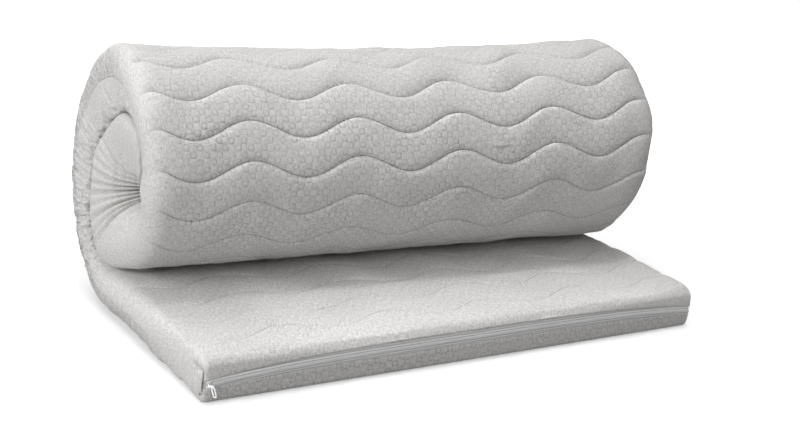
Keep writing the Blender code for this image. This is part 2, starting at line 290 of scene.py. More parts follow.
def across(column, length, inside):
    """x and what is left of the half thickness, at each length."""
    if column.share is None:
        return np.full_like(length, column.x), np.ones_like(length)
    if inside:
        pressed = smooth(FLAT_REACH, FLAT_REACH + 0.1, length) * smooth(ROLL_END, ROLL_END - 0.1, length)
        power = SIDE_POWER + PRESSED_INSIDE * pressed
    else:
        power = SIDE_POWER + PRESSED_OUTSIDE * smooth(ROLL_END - 0.08, ROLL_END + 0.03, length)
    slim = np.maximum(SLIM_LEFT, (1 - column.share ** power) ** (1 / power))
    return column_x(column, side_rounding(length)), slim


def eye_depth(x, y, z):
    """How far the roll's end is drawn in round the fold."""
    rise = z - FOLD_Z
    ahead = y - FOLD_Y + EYE_AHEAD
    distance = np.hypot(ahead, np.where(rise > 0, EYE_FLATTER, 1.0) * rise)
    depth = EYE_DEPTH * np.exp(-(distance / EYE_RADIUS) ** 2)
    depth = depth + DISH_DEPTH * np.exp(-(np.hypot(ahead, rise) / DISH_RADIUS) ** 2)
    return depth * smooth(EYE_START, WIDTH / 2, np.abs(x))


def face_rows(column, rows, inside, sunk):
    """A column's points on the inner or the outer face."""
    x, slim = across(column, rows, inside)
    length = np.minimum(rows + seam_shift(x, rows), TOTAL)
    out, inn = faces_at(length)
    middle = (out + inn) / 2
    face = inn if inside else out
    point = middle + (face - middle) * slim[:, None]
    y, z = point[:, 0], point[:, 1]
    x = x - np.sign(x) * eye_depth(x, y, z) * sunk
    return place(x, y, z, length)


# the flat end's edge: heights of the groove's floor off the zip's middle, then its wall and
# lip, as height past the band's edge, share of the groove's depth and share of the lip
GROOVE_FLOOR = (0.002, 0.006)
GROOVE_WALL = ((0.0002, 1.0, 0.0), (-0.0004, 0.75, 0.0), (-0.0006, 0.35, 0.0),
               (-0.0002, 0.0, 0.2), (0.0007, 0.0, -1.0), (0.002, 0.0, -1.3))
LOW_LIP, HIGH_LIP = (0.0045, 0.0, -0.9), (0.0035, 0.0, -1.0)
# and on to the underside and to the top: height and how far back
LOW_EDGE_ROUND = ((0.0105, -0.0001), (0.0070, 0.0002), (0.0040, 0.0013), (0.0018, 0.0035),
                  (0.0004, 0.0070))
HIGH_EDGE_ROUND = ((0.0545, 0.0004), (0.0580, 0.0018), (0.0612, 0.0042), (0.0638, 0.0075),
                   (0.0657, 0.0112), (0.0670, 0.0155), (0.0677, 0.0198))
EDGE_LOW = len(GROOVE_FLOOR + GROOVE_WALL + LOW_EDGE_ROUND) + 1    # rows below the zip's middle
EDGE_HIGH = len(GROOVE_FLOOR + GROOVE_WALL + HIGH_EDGE_ROUND) + 1    # and above it


def edge_rows(column):
    """A column's points in the flat end's edge, down and up from the zip's middle."""
    x = column_x(column, CORNER_ROUND)
    middle, half = zip_height(x), zip_half(x)
    # the groove ends at the corner's seam at -X, and runs round the corner at +X
    ends = (1.0, 0.93) if column.side > 0 else (CORNER_SEAM, 0.5)
    fade = 1.0 if column.share is None else smooth(*ends, column.share)
    corner = max(0.0, (abs(x) - WIDTH / 2) / CORNER_ROUND + 1)
    back = CORNER_ROUND * (1 - np.sqrt(max(0.0, 1 - corner ** 2)))
    centre = FLAT_THICK / 2
    rows = []
    for way, last, rounding in ((-1, LOW_LIP, LOW_EDGE_ROUND), (1, HIGH_LIP, HIGH_EDGE_ROUND)):
        points = [(middle + way * off, GROOVE_DEPTH * fade) for off in GROOVE_FLOOR]
        for past, groove, lip in GROOVE_WALL + (last,):
            points.append((middle + way * (half + past), (GROOVE_DEPTH * groove + LIP * lip) * fade))
        points += rounding
        z = np.array([height for height, _ in points])
        y = -FLAT_REACH + np.array([inwards for _, inwards in points]) + back
        z = centre + (z - centre) * column.slim
        rows.append(place(np.full_like(z, x), y, z, np.zeros_like(z)))
    return rows


# what a row of the loop round the slab belongs to
LOW_EDGE, OUTSIDE, TIP, INSIDE, HIGH_EDGE = KINDS = range(5)
TIP_SWEEP = np.array([0.0, -0.35, -0.94])    # which way the slab's inner end points


def tip_rows(out, inn):
    """The slab's rounded inner end, from the outer face to the inner one."""
    middle = (out + inn) / 2
    halves = []
    for last in (out, inn):
        halves.append([middle + (last - middle) * cos(radians(angle))
                       + TIP_SWEEP * (TIP_ROUND * sin(radians(angle))) for angle in TIP_ANGLES])
    return np.array(halves[0] + halves[1][::-1])


def loop(sunk=1.0):
    """Points, column by row, with each row's length, kind and whether it is coarse.

    sunk is the share of the pit and hollow in the roll's ends."""
    grid = []
    for column in COLUMNS:
        low, high = edge_rows(column)
        out = face_rows(column, OUTER_FINE, False, sunk)
        inn = face_rows(column, INNER_FINE, True, sunk)
        tip = tip_rows(out[-1], inn[-1])
        grid.append(np.concatenate([low, out, tip, inn[::-1], high[::-1]]))
    stretches = (np.zeros(EDGE_LOW), OUTER_FINE, np.full(2 * len(TIP_ANGLES), TOTAL),
                 INNER_FINE[::-1], np.zeros(EDGE_HIGH))
    lengths = np.concatenate(stretches)
    kinds = np.repeat(KINDS, [len(stretch) for stretch in stretches])
    coarse = np.select([kinds == OUTSIDE, kinds == INSIDE],
                       [np.isin(lengths, OUTER), np.isin(lengths, INNER)], True)
    return np.array(grid), lengths, kinds, coarse


# ------------ relief of the cover
def smooth_noise(seed, u, v, wavelength, count=24):
    """A soft, repeatable unevenness from a few waves, about -1 to 1."""
    draw = np.random.RandomState(seed)
    total = np.zeros(np.broadcast(u, v).shape)
    for _ in range(count):
        turn = draw.uniform(0, 2 * pi)
        k = 2 * pi / (wavelength * draw.uniform(0.7, 1.6))
        total += np.sin(k * (u * cos(turn) + v * sin(turn)) + draw.uniform(0, 2 * pi))
    return total / np.sqrt(count / 2)


def seam_relief(x, length, kinds):
    """The quilting's grooves, shallower on the flat end's top and under the roll."""
    off = (length - FIRST_SEAM + PITCH / 2) % PITCH - PITCH / 2
    seamed = (length > FIRST_SEAM - 0.03) & (length < TOTAL - 0.02)
    inside = kinds == INSIDE
    flat_top = smooth(FLAT_REACH + 0.05, FLAT_REACH - 0.02, length) * inside
    strength = 1.0 - LOST_ON_FLAT * flat_top
    # seams press out under the roll, first at its +X end
    press_start = FRONT_END - 0.10 - 0.04 * (x / WIDTH + 0.5)
    under = smooth(press_start, FRONT_END + 0.12, length) * (1 - inside)
    under = under * smooth(FLAT_REACH, FLAT_REACH + 0.1, length)
    strength = strength * (1 - LOST_UNDER * under)
    border = smooth(SEAM_EDGE, SEAM_WHOLE, np.abs(x))
    # steeper past the seam, where the next channel swells out
    slope = np.where((off > 0) == (kinds == OUTSIDE), SEAM_STEEP, SEAM_GENTLE)
    groove = SEAM_CUT * np.exp(-(off / SEAM_CUT_REACH) ** 2) + SEAM_DIP * np.exp(-np.abs(off) / slope)
    return -groove * strength * border * seamed


def creases(draw, lengths, start, end, sizes):
    """Grooves at uneven steps along the slab, of uneven width and depth."""
    steps, widths, depths = sizes
    total = np.zeros_like(lengths)
    at = start
    while at < end:
        width, depth = draw.uniform(*widths), draw.uniform(*depths)
        total -= depth * np.exp(-(np.abs(lengths - at) / width) ** 1.5)
        at += draw.uniform(*steps)
    return total[None, :]


def wrinkle_relief(draw, share, slim, lengths, inside):
    """Wrinkles of the layer ends, mostly low at the back and towards the coil."""
    length = lengths[None, :]
    lines = creases(draw, lengths, FLAT_REACH + 0.02, FRONT_END, WRINKLES)
    low_back = 1 - LOST_ABOVE * smooth(FLAT_REACH + 0.30, FLAT_REACH + 0.42, length)
    towards_coil = low_back + (AT_COIL - low_back) * smooth(0.0, 0.7, slim)
    towards_coil = smooth(0.0, 0.6, share) * towards_coil
    zone = np.where(inside, towards_coil, smooth(0.85, 0.15, slim) * low_back)
    through = 0.05 * np.where(inside, slim, -slim)    # from the outer to the inner face
    broken = BROKEN * (1 + smooth_noise(8, through, length, 0.022))
    return lines * np.clip(zone * broken, 0, 1.2) * (share > 0)


def pleat_relief(draw, grid, share, slim, lengths, inside):
    """Pleats that run to the coil's first fold and deepen towards it."""
    lines = creases(draw, lengths, ROLL_END + 0.03, FOLD_END - 0.09, PLEATS)
    radial = np.where(inside, 1.0, 1 - LOST_OUTSIDE * smooth(0.0, 1.0, slim)) * (share > 0)
    off = np.hypot(grid[..., 1] - FOLD_Y, grid[..., 2] - FOLD_Z)
    near = np.exp(-(off / DEEPER_REACH) ** 2)
    return lines * np.clip(radial, 0, 1) * (1 + DEEPER * near)


def corner_seam(grid, lengths, kinds):
    """Where each row meets the corner's seam, as a share of the side's rounding, and how deep.

    It stands upright in the edge, then runs a short way back along the side."""
    stand = grid[MIDDLE, :, 2]
    back = np.where(kinds == LOW_EDGE, 0.0, smooth(0.054, 0.0677, stand))
    reach = np.isin(kinds, (LOW_EDGE, HIGH_EDGE)) + (kinds == INSIDE) * smooth(0.032, 0.025, lengths)
    return CORNER_SEAM + (BACK_SEAM - CORNER_SEAM) * back, reach


def relief(grid, lengths, kinds):
    """How far the cover stands out from the plain shape, in metres, column by row."""
    x = np.array([column_x(column, SIDE_ROUND) for column in COLUMNS])[:, None]
    share = np.array([column.share or 0.0 for column in COLUMNS])[:, None]
    slim = np.array([column.slim for column in COLUMNS])[:, None]
    inside, face = (kinds == INSIDE)[None, :], np.isin(kinds, (OUTSIDE, INSIDE))[None, :]
    found = seam_relief(x, lengths[None, :], kinds[None, :])
    for seed, height, wavelength in ((3, 0.0008, 0.11), (5, 0.0003, 0.035)):
        found = found + height * smooth_noise(seed, x, lengths[None, :], wavelength) * face
    draw = np.random.RandomState(11)
    found = found + wrinkle_relief(draw, share, slim, lengths, inside)
    found = found + pleat_relief(draw, grid, share, slim, lengths, inside)
    seam_share, reach = corner_seam(grid, lengths, kinds)
    return found - CORNER_DEPTH * np.exp(-((share - seam_share) / CORNER_WIDE) ** 2) * reach


def normals(grid, kinds):
    """Directions out of the cover, column by row."""
    down = np.zeros_like(grid)
    down[1:-1] = grid[2:] - grid[:-2]
    down[0], down[-1] = grid[1] - grid[0], grid[-1] - grid[-2]
    along = np.roll(grid, -1, 1) - np.roll(grid, 1, 1)
    found = np.cross(down, along)
    found /= np.maximum(np.linalg.norm(found, axis=2, keepdims=True), 1e-12)
    underside = np.argmax(kinds == OUTSIDE) + 20    # a row that faces the floor
    if found[MIDDLE, underside, 2] > 0:
        found = -found
    found[0], found[-1] = (-1.0, 0.0, 0.0), (1.0, 0.0, 0.0)
    return found


# ------------ the cover's mesh
UNSEWN = 0.03    # the distance from stitches that stands for none near
# the seams' painted shade spreads with the distance from the stitches
CORNER_THREAD = 0.6    # below 1, the corner's line of stitches shows broader
SEAM_STOP = 0.08    # how fast a seam's stitches fade past its end
EDGE_STRETCH = 0.7    # cloth coordinate against height, where the sides close


class Cover:
    """The closed cover: faces of (column, row) corners, with their cloth coordinates."""

    def __init__(self):
        self.plain, self.lengths, self.kinds, self.coarse = loop()
        self.rows = np.arange(len(self.lengths))
        self.measure_cloth()
        seam_share, self.corner_reach = corner_seam(self.plain, self.lengths, self.kinds)
        shares = np.array([column.share for column in COLUMNS[:SIDE_COLUMNS]])
        sides = (self.u[:SIDE_COLUMNS], self.u[:-SIDE_COLUMNS - 1:-1])
        self.corner_u = np.array([[np.interp(-seam_share[r], -shares, side[:, r]) for r in self.rows]
                                  for side in sides])
        self.faces, self.coords, self.threads = [], [], []

    def measure_cloth(self):
        """u and v of every point, in metres of cloth, and the length of the loop."""
        plain, lengths, kinds = self.plain, self.lengths, self.kinds
        run = travelled(plain[MIDDLE], 0)
        self.whole = float(run[-1] + np.linalg.norm(plain[MIDDLE][0] - plain[MIDDLE][-1]))
        self.u = travelled(loop(0.0)[0], 0)
        self.u -= self.u[MIDDLE]
        way = np.where(kinds == INSIDE, -1, 1)
        self.v = run + seam_shift(plain[..., 0], lengths[None, :]) * way[None, :]
        down = travelled(plain, 1)
        for kind, anchor in ((LOW_EDGE, EDGE_LOW), (HIGH_EDGE, len(lengths) - EDGE_HIGH - 1)):
            at = kinds == kind
            self.v[:, at] = self.v[:, [anchor]] + down[:, at] - down[:, [anchor]]
        # where the sides close, the cloth's length runs on from the outer face
        outside, edge = kinds == OUTSIDE, np.isin(kinds, (LOW_EDGE, HIGH_EDGE))
        side_v = np.interp(lengths, lengths[outside], self.v[MIDDLE, outside])
        self.side_v = np.where(edge, EDGE_STRETCH * plain[MIDDLE, :, 2], side_v)

    def thread(self, c, r, seam, sewn):
        """Distance from the nearest line of stitches."""
        u = self.u[c, r]
        if self.corner_reach[r] > 0 and min(c, len(COLUMNS) - 1 - c) < SIDE_COLUMNS - 1:
            off = abs(u - self.corner_u[0 if c < SIDE_COLUMNS else 1, r])
            return CORNER_THREAD * off + 0.003 * (1 - self.corner_reach[r])
        if not sewn:
            return UNSEWN
        return np.hypot(self.lengths[r] - seam, SEAM_STOP * max(0.0, abs(u) - SEAM_EDGE))

    def add(self, ring, wraps=False, closing=False):
        """A face from its (column, row) corners; wraps where the loop meets its start."""
        centre = sum(self.lengths[r] for _, r in ring) / len(ring)
        seam = FIRST_SEAM + PITCH * round((centre - FIRST_SEAM) / PITCH)
        sewn = 0.02 < centre < TOTAL - 0.01
        self.faces.append([self.index[c][r] for c, r in ring])
        for c, r in ring:
            v = self.v[c, r] + (self.whole if wraps and r == 0 else 0.0)
            self.coords.append((self.u[c, r], self.side_v[r] if closing else v))
            self.threads.append((self.u[c, r], self.thread(c, r, seam, sewn)))

    def place_points(self):
        """The cover's points, with all rows near the sides and only the coarse ones between."""
        out = normals(self.plain, self.kinds)
        grid = self.plain + out * relief(self.plain, self.lengths, self.kinds)[..., None]
        grid[..., 2] = np.maximum(grid[..., 2], 0.0)
        self.points, self.index = [], []
        for c in range(len(COLUMNS)):
            fine = c < FINE_COLUMNS or c >= len(COLUMNS) - FINE_COLUMNS
            keep = self.rows if fine else self.rows[self.coarse]
            self.index.append({int(r): len(self.points) + k for k, r in enumerate(keep)})
            self.points += [tuple(p) for p in grid[c][keep]]

    def skin(self):
        """Faces between neighbouring columns, which may have unlike rows."""
        size = len(self.rows)
        for c in range(len(COLUMNS) - 1):
            fine_left, fine_right = len(self.index[c]) == size, len(self.index[c + 1]) == size
            steps = self.rows if fine_left and fine_right else self.rows[self.coarse]
            for a, b in zip(steps, np.roll(steps, -1)):
                a, b = int(a), int(b)
                wraps = b <= a
                run = [r % size for r in range(a, (b + size if wraps else b) + 1)]
                left = run if fine_left and not fine_right else [a, b]
                right = run if fine_right and not fine_left else [a, b]
                self.add([(c, r) for r in left] + [(c + 1, r) for r in right[::-1]], wraps)

    def close_sides(self):
        """Triangles between the outer and the inner face, from the zipped end inwards."""
        size, kinds = len(self.rows), self.kinds
        order = self.lengths + (kinds == TIP) * 0.01
        order = np.where(kinds == LOW_EDGE, -1.0 + self.rows / EDGE_LOW, order)
        order = np.where(kinds == HIGH_EDGE, -1.0 + (size - 1 - self.rows) / EDGE_HIGH, order)
        for c in (0, len(COLUMNS) - 1):
            i, j = 0, size - 1
            while i < j - 1:
                if order[i + 1] <= order[j - 1]:
                    ring = [(c, i), (c, i + 1), (c, j)]
                    i += 1
                else:
                    ring = [(c, i), (c, j - 1), (c, j)]
                    j -= 1
                self.add(ring[::-1] if c == 0 else ring, closing=True)

    def mesh(self):
        self.place_points()
        self.skin()
        self.close_sides()
        data = bpy.data.meshes.new("cover")
        data.from_pydata(self.points, [], self.faces)
        add_coordinates(data, "cloth", self.coords)
        add_coordinates(data, "seam", self.threads)
        data.validate()
        data.update()
        data.shade_smooth()
        data.set_sharp_from_angle(angle=radians(75))
        return data


def add_coordinates(data, name, coords):
    layer = data.uv_layers.new(name=name)
    layer.data.foreach_set("uv", np.array(coords, dtype=np.float32).ravel())


# ------------ materials
class Shader:
    """A material's node tree; the settings are its surface's own."""

    def __init__(self, name, settings):
        self.material = bpy.data.materials.new(name)
        self.material.use_nodes = True
        self.tree = self.material.node_tree
        self.surface = self.tree.nodes["Principled BSDF"]
        for socket, value in settings.items():
            self.surface.inputs[socket].default_value = value

    def join(self, value, socket):
        if isinstance(value, bpy.types.NodeSocket):
            self.tree.links.new(value, socket)
        else:
            socket.default_value = value

    def math(self, operation, *values):
        node = self.tree.nodes.new("ShaderNodeMath")
        node.operation = operation
        for value, socket in zip(values, node.inputs):
            self.join(value, socket)
        return node.outputs[0]

    def plus(self, first, *others):
        for other in others:
            first = self.math("ADD", first, other)
        return first

    def minus(self, first, second):
        return self.math("SUBTRACT", first, second)

    def times(self, first, *others):
        for other in others:
            first = self.math("MULTIPLY", first, other)
        return first

    def power(self, value, exponent):
        return self.math("POWER", value, exponent)

    def size(self, value):
        return self.math("ABSOLUTE", value)

    def wave(self, value, length):
        return self.math("SINE", self.times(value, 2 * pi / length))

    def between(self, value, low, high):
        """0 where the value is at low, 1 where it is at high, level beyond both."""
        share = self.math("DIVIDE", self.minus(value, low), high - low)
        return self.math("MAXIMUM", 0.0, self.math("MINIMUM", 1.0, share))

    def coordinates(self, name):
        """The named cloth coordinates, whole and as their two parts."""
        node = self.tree.nodes.new("ShaderNodeUVMap")
        node.uv_map = name
        split = self.tree.nodes.new("ShaderNodeSeparateXYZ")
        self.join(node.outputs["UV"], split.inputs[0])
        return node.outputs["UV"], split.outputs["X"], split.outputs["Y"]

    def noise(self, coordinates, scale, detail=2.0, roughness=0.5):
        node = self.tree.nodes.new("ShaderNodeTexNoise")
        self.join(coordinates, node.inputs["Vector"])
        for name, value in (("Scale", scale), ("Detail", detail), ("Roughness", roughness)):
            node.inputs[name].default_value = value
        return node.outputs["Fac"]

    def streaks(self, coordinates, across_scale, along_scale, detail, roughness=0.5):
        """Noise with a scale of its own along each of the cloth's directions."""
        node = self.tree.nodes.new("ShaderNodeVectorMath")
        node.operation = "MULTIPLY"
        self.join(coordinates, node.inputs[0])
        node.inputs[1].default_value = (across_scale, along_scale, 1.0)
        return self.noise(node.outputs[0], 1.0, detail, roughness)

    def ridges(self, noise):
        """Sharp valleys out of a noise, for creased cloth."""
        return self.size(self.minus(self.times(noise, 2.0), 1.0))

    def tint(self, colour, factor):
        """The colour times a brightness."""
        node = self.tree.nodes.new("ShaderNodeVectorMath")
        node.operation = "SCALE"
        node.inputs[0].default_value = colour
        self.join(factor, node.inputs["Scale"])
        self.join(node.outputs[0], self.surface.inputs["Base Color"])

    def bump(self, height):
        """A height in metres."""
        node = self.tree.nodes.new("ShaderNodeBump")
        node.inputs["Strength"].default_value = 1.0
        node.inputs["Distance"].default_value = 1.0
        self.join(height, node.inputs["Height"])
        self.join(node.outputs[0], self.surface.inputs["Normal"])


CELL_WIDE, CELL_TALL, CELL_BEND = 0.0108, 0.0100, 0.0022
RIB_ACROSS, RIB_ALONG = 0.0017, 0.0021
# the seams' line of painted shade: stitch length and half width
STITCH, SEAM_SHADE_WIDE = 0.0032, 0.0011
KNIT_COLOUR = (0.672, 0.660, 0.648)
# shares of the colour; the outline's is painted shade in the sunk outlines, the pillow's painted light
# on the pillows' middles
OUTLINE_SHADE, PILLOW_HIGHLIGHT, EVEN_DARK, SEAM_SHADE_DARK, STITCH_LIGHT = 0.34, 0.05, -0.05, 0.74, 0.35
GRAIN_SHOWS, STREAK_SHOWS, RIB_SHOWS = 0.95, 0.80, 0.012
# heights of the bump
PILLOW_HIGH, PLAIN_HIGH, GRAIN_HIGH, STREAK_HIGH, RIB_HIGH = 0.0004, 0.0003, 0.0004, 0.0002, 0.00004
FOLD_HIGH, SOFT_HIGH = 0.0075, 0.0065
# soft crumples in the roll's front: middle u and v, half width and half height
SOFT_FOLDS = ((-0.378, 1.112, 0.042, 0.022), (0.140, 1.130, 0.036, 0.016))


def squares(s, uv, u, v):
    """Which squares are raised, and how far each point is from its square's middle."""
    bend = s.times(s.minus(s.noise(uv, 45.0), 0.5), CELL_BEND)
    over = s.math("DIVIDE", s.plus(u, bend), CELL_WIDE)
    up = s.math("DIVIDE", s.plus(v, s.times(bend, -0.8)), CELL_TALL)
    raised = s.math("MODULO", s.size(s.plus(s.math("FLOOR", over), s.math("FLOOR", up))), 2.0)
    a, b = (s.size(s.minus(s.times(s.math("FRACT", way), 2.0), 1.0)) for way in (over, up))
    far = s.power(s.plus(s.power(a, 5.0), s.power(b, 5.0)), 0.2)
    return raised, s.math("MINIMUM", far, 1.0)


def clearness(s, uv, u, v, whole):
    """How clearly the squares show; whole is the length of cloth once round the slab."""
    blotch, patchy = s.noise(uv, 14.0, 3.0, 0.5), s.noise(uv, 70.0, 1.0)
    clear = s.plus(-0.75, s.plus(s.times(blotch, 2.0), s.times(patchy, 1.5)))
    clear = s.math("MAXIMUM", 0.1, s.math("MINIMUM", clear, 1.8))
    # weaker towards the sides and low on the roll at +X; weaker also on the flat end and over the roll's
    # top, as painted light that washes the squares out where the light falls fullest
    clear = s.times(clear, s.math("MAXIMUM", 0.15, s.between(s.size(u), 0.470, 0.410)))
    # painted light: the squares wash out on the flat end and over the roll's top
    flat_washed = s.between(v, whole - 0.40, whole - 0.33)
    crown = s.between(s.size(s.minus(v, ROLL_START + 0.025)), 0.14, 0.07)
    low_right_faded = s.times(s.between(u, 0.18, 0.36), s.between(v, FRONT_END + 0.01, FRONT_END + 0.07))
    clear = s.times(clear, s.minus(1.0, s.times(s.math("MAXIMUM", flat_washed, crown), 0.45)))
    return s.times(clear, s.minus(1.0, s.times(low_right_faded, 0.65)))


def painted_seam_shade(s):
    """Painted shade along the quilting seams, where the cover is pulled in between short stitches, and
    less of it on the stitches.
    """
    _, along, off = s.coordinates("seam")
    line = s.minus(1.0, s.math("MINIMUM", s.math("DIVIDE", s.size(off), SEAM_SHADE_WIDE), 1.0))
    stitch = s.size(s.math("SINE", s.times(along, pi / STITCH)))
    return s.times(line, s.minus(SEAM_SHADE_DARK, s.times(stitch, STITCH_LIGHT)))


def end_folds(s, uv, u, v, whole):
    """Short folds across the outer layer's ends, and half as high where it bends up."""
    folds = s.ridges(s.streaks(uv, 45.0, 140.0, 2.0, 0.6))
    ends = s.times(s.between(s.size(u), 0.451, 0.470), s.between(s.size(s.minus(v, 0.56)), 0.46, 0.32))
    from_bend = s.size(s.minus(v, whole - 0.41))
    bend = s.times(s.between(s.size(u), 0.425, 0.450), s.between(from_bend, 0.10, 0.04))
    return s.times(folds, s.math("MAXIMUM", ends, s.times(bend, 0.5)), FOLD_HIGH)


def soft_folds(s, uv, u, v):
    """The height of each soft crumple, which fades out from its middle."""
    waves = s.ridges(s.streaks(uv, 26.0, 62.0, 0.5))
    for at_u, at_v, wide, tall in SOFT_FOLDS:
        a, b = s.math("DIVIDE", s.minus(u, at_u), wide), s.math("DIVIDE", s.minus(v, at_v), tall)
        spot = s.math("MAXIMUM", 0.0, s.minus(1.0, s.plus(s.times(a, a), s.times(b, b))))
        yield s.times(waves, spot, SOFT_HIGH)


def knit_material(whole):
    """Basket knit: squares of 11 mm, every other one a raised pillow with a sunk outline; painted shade
    darkens the outline and painted light brightens the pillow's middle.
    """
    s = Shader("cover_knit", {"Roughness": 0.92, "Sheen Weight": 0.15, "Sheen Roughness": 0.6,
                              "Specular IOR Level": 0.2})
    uv, u, v = s.coordinates("cloth")
    raised, far = squares(s, uv, u, v)
    clear = clearness(s, uv, u, v, whole)
    pillow = s.minus(1.0, s.power(far, 3.0))
    outline = s.times(s.power(far, 3.5), s.minus(1.0, s.power(far, 16.0)))
    grain = s.noise(uv, 270.0, 3.0, 0.8)
    streak = s.streaks(uv, 480.0, 130.0, 2.0, 0.7)
    rib = s.times(s.wave(u, RIB_ACROSS), s.wave(v, RIB_ALONG))

    # painted shade in the sunk outlines of the raised squares, and painted light on their middles
    dark = s.times(s.times(raised, outline), s.times(clear, OUTLINE_SHADE))
    light = s.times(s.times(raised, s.minus(1.0, far)), s.times(clear, PILLOW_HIGHLIGHT))
    even = s.times(s.minus(raised, 0.5), clear, EVEN_DARK)
    fine = s.plus(s.times(s.minus(grain, 0.5), GRAIN_SHOWS),
                  s.times(s.minus(streak, 0.5), STREAK_SHOWS), s.times(rib, RIB_SHOWS))
    bright = s.plus(s.minus(1.0, dark), s.plus(light, even), fine)
    # the seams' painted shade is taken off the colour
    s.tint(KNIT_COLOUR, s.minus(bright, painted_seam_shade(s)))

    plain = s.times(pillow, s.minus(1.0, raised), clear)
    s.bump(s.plus(s.times(s.times(pillow, raised), s.times(clear, PILLOW_HIGH)),
                  s.times(plain, PLAIN_HIGH), s.times(grain, GRAIN_HIGH), s.times(streak, STREAK_HIGH),
                  end_folds(s, uv, u, v, whole), *soft_folds(s, uv, u, v), s.times(rib, RIB_HIGH)))
    return s.material


def tape_material():
    """Close twill of the zip's tapes, with a few darker lines along them."""
    s = Shader("zip_tape", {"Roughness": 0.75})
    uv, u, v = s.coordinates("cloth")
    rib = s.wave(s.plus(u, v), 0.0011)
    rows = s.wave(v, 0.0012)
    grain = s.noise(uv, 1200.0)
    line = s.power(s.size(s.math("COSINE", s.times(v, pi / 0.0036))), 5.0)
    tone = s.plus(0.96, s.times(rib, 0.05), s.times(grain, 0.12))
    s.tint((0.95, 0.95, 0.94), s.minus(tone, s.times(line, 0.50)))
    s.bump(s.plus(s.times(rib, 0.00005), s.times(rows, 0.00003)))
    return s.material


def nylon_material():
    """Satin nylon of the coil, a little uneven."""
    s = Shader("zip_chain", {"Roughness": 0.38})
    grain = s.noise(s.coordinates("cloth")[0], 400.0)
    s.tint((0.86, 0.86, 0.86), s.plus(0.92, s.times(grain, 0.16)))
    s.bump(s.times(grain, 0.00005))
    return s.material


def metal_material():
    """Bright die-cast metal, finely brushed."""
    s = Shader("zip_metal", {"Metallic": 1.0})
    brushed = s.streaks(s.coordinates("cloth")[0], 9000.0, 500.0, 2.0)
    s.tint((0.90, 0.90, 0.905), s.plus(0.92, s.times(brushed, 0.14)))
    s.join(s.plus(0.20, s.times(brushed, 0.18)), s.surface.inputs["Roughness"])
    return s.material


# ------------ zip
topper_low, topper_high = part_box("topper")
ORIGIN = Vector((topper_low.x + WIDTH / 2, topper_high.y - BACK_REACH, 0.0))


def on_edge(x, out, z):
    """A point in the flat end's edge: along it, out from the groove's floor, and up."""
    y = GROOVE_DEPTH - FLAT_REACH - out
    return Vector((x * cos(FLAT_TURN) - y * sin(FLAT_TURN), x * sin(FLAT_TURN) + y * cos(FLAT_TURN), z))


def put(name, data, location):
    thing = bpy.data.objects.new(name, data)
    thing.location = location
    bpy.context.scene.collection.objects.link(thing)
    return thing


def add_piece(name, data, material, nodes):
    data.materials.append(material)
    thing = put(name, data, ORIGIN)
    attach(thing, "root")
    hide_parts(*nodes)
    return thing


class Patch:
    """Faces of one piece, with their cloth coordinates."""

    def __init__(self):
        self.verts, self.faces, self.coords = [], [], []

    def strip(self, sections):
        """Join closed rings of (point, v) and cap both ends; a section is (u, ring)."""
        start = len(self.verts)
        count = len(sections[0][1])
        for _, ring in sections:
            self.verts += [point for point, _ in ring]
        for i, ((u0, ring), (u1, _)) in enumerate(zip(sections, sections[1:])):
            here, there = start + i * count, start + (i + 1) * count
            for k in range(count):
                n = (k + 1) % count
                self.faces.append([here + k, here + n, there + n, there + k])
                v0 = ring[k][1]
                v1 = ring[n][1] if n else ring[0][1] + abs(ring[1][1] - ring[0][1])
                self.coords += [(u0, v0), (u0, v1), (u1, v1), (u1, v0)]
        for i in (0, len(sections) - 1):
            cap = [start + i * count + k for k in range(count)]
            self.faces.append(cap[::-1] if i == 0 else cap)
            self.coords += [(sections[i][0], v) for _, v in sections[i][1]]

    def looped(self, us, vs, rings):
        """Join rings of points so that the last one comes back to the first."""
        start, count, around = len(self.verts), len(us), len(rings)
        for ring in rings:
            self.verts += ring
        for i in range(around):
            here, there = start + i * count, start + (i + 1) % around * count
            for k in range(count):
                n = (k + 1) % count
                self.faces.append([here + k, there + k, there + n, here + n])
                self.coords += [(us[k], vs[i]), (us[k], vs[i + 1]), (us[n], vs[i + 1]), (us[n], vs[i])]

    def build(self, name, material, slot, node):
        data = bpy.data.meshes.new(name)
        data.from_pydata([tuple(v) for v in self.verts], [], self.faces)
        add_coordinates(data, "cloth", self.coords)
        data.validate()
        data.shade_smooth()
        data.set_sharp_from_angle(angle=radians(40))
        return add_piece(name, data, material, [node])


TAPE_STEPS, TAPE_INNER, TAPE_TUCK, SWELL = 120, 0.0015, 0.0006, 0.0006
# a tape's section from the chain outwards: share of its height, how far out, share of the swell
TAPE_SECTION = ((0.0, 0.0003, 0), (0.0, 0.0030, 1), (0.25, 0.0036, 1), (0.55, 0.0033, 0),
                (0.80, 0.0026, -1), (0.87, 0.0010, 0), (1.0, 0.0006, 0), (1.0, 0.0003, 0))


def tape(sign):
    """The upper tape (1) or the lower one (-1), with its rolled edge beside the chain."""
    patch = Patch()
    swell = SWELL if sign > 0 else 0.0
    sections = []
    for k in range(TAPE_STEPS + 1):
        x = -ZIP_END + 2 * ZIP_END * k / TAPE_STEPS
        outer = zip_half(x) + TAPE_TUCK
        ring = []
        for share, out, swells in TAPE_SECTION:
            off = TAPE_INNER + (outer - TAPE_INNER) * share
            ring.append((on_edge(x, out + swells * swell, zip_height(x) + sign * off), off))
        sections.append((x, ring if sign > 0 else ring[::-1]))
    patch.strip(sections)
    return patch


CHAIN_START, CHAIN_END, CHAIN_STEPS, COIL_PITCH = -0.431, 0.4415, 160, 0.00150
CORE_SIDES, CORE_OUT, CORE_THICK, CORE_TALL = 6, 0.0035, 0.0006, 0.0013
COIL_SIDES, COIL_OUT, COIL_THICK, COIL_WIDE = 5, 0.0040, 0.0009, 0.00062
